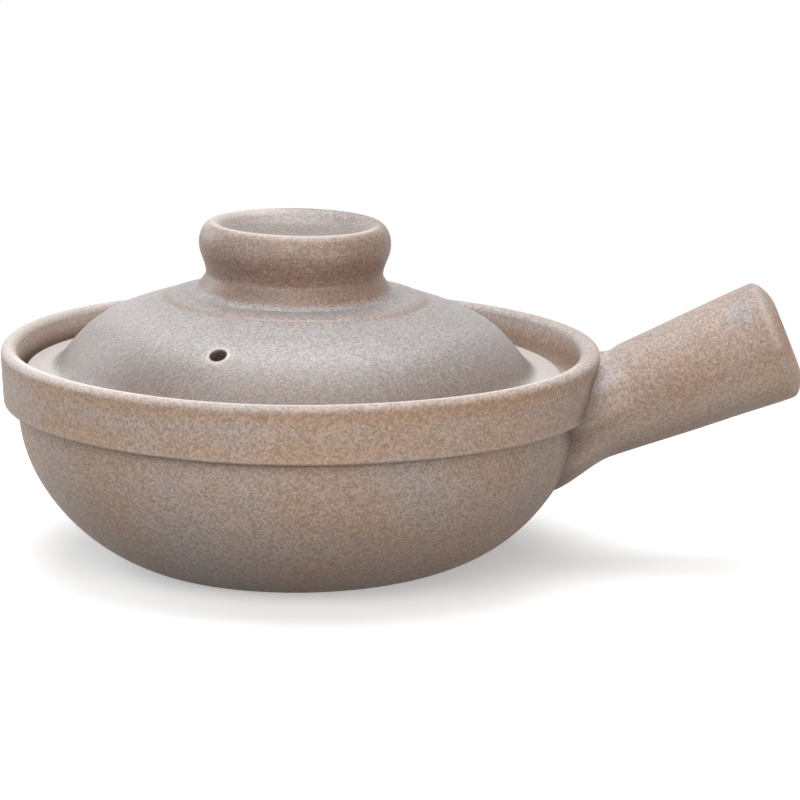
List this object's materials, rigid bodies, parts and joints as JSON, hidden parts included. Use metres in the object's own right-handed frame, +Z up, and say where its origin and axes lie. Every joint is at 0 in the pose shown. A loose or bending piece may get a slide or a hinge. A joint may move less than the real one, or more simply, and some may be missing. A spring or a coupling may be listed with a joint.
{
  "type": "single-handle clay pot",
  "caption": "Round unglazed clay pot with a thick straight collar, one stub handle angled up from its side, and a loose domed lid with a ring knob and a steam hole.",
  "frame": {"origin": "centre of the flat base that the pot stands on", "axes": "+X towards the handle, +Y away from the viewer of the picture, +Z up along the axis of the bowl"},
  "size_m": [0.2545, 0.1898, 0.1084],
  "materials": {
    "bowl_clay": "unglazed grey-brown stoneware, matt, with fine pale grains and warmer patches",
    "handle_clay": "unglazed warm brown stoneware, matt, slightly smoother from hand rubbing",
    "lid_clay": "unglazed greyish mauve stoneware, matt, with faint turning lines",
    "knob_clay": "unglazed warm brown stoneware, matt"
  },
  "bodies": {
    "pot": {"pot_bowl": "bowl_clay", "handle": "handle_clay"},
    "lid": {"lid_shell": "lid_clay", "lid_knob": "knob_clay"}
  },
  "joints": [
    {"name": "lid_lift", "type": "slide", "parent": "pot", "child": "lid", "axis": [0, 0, 1], "range_m": [0, 0.12]}
  ]
}
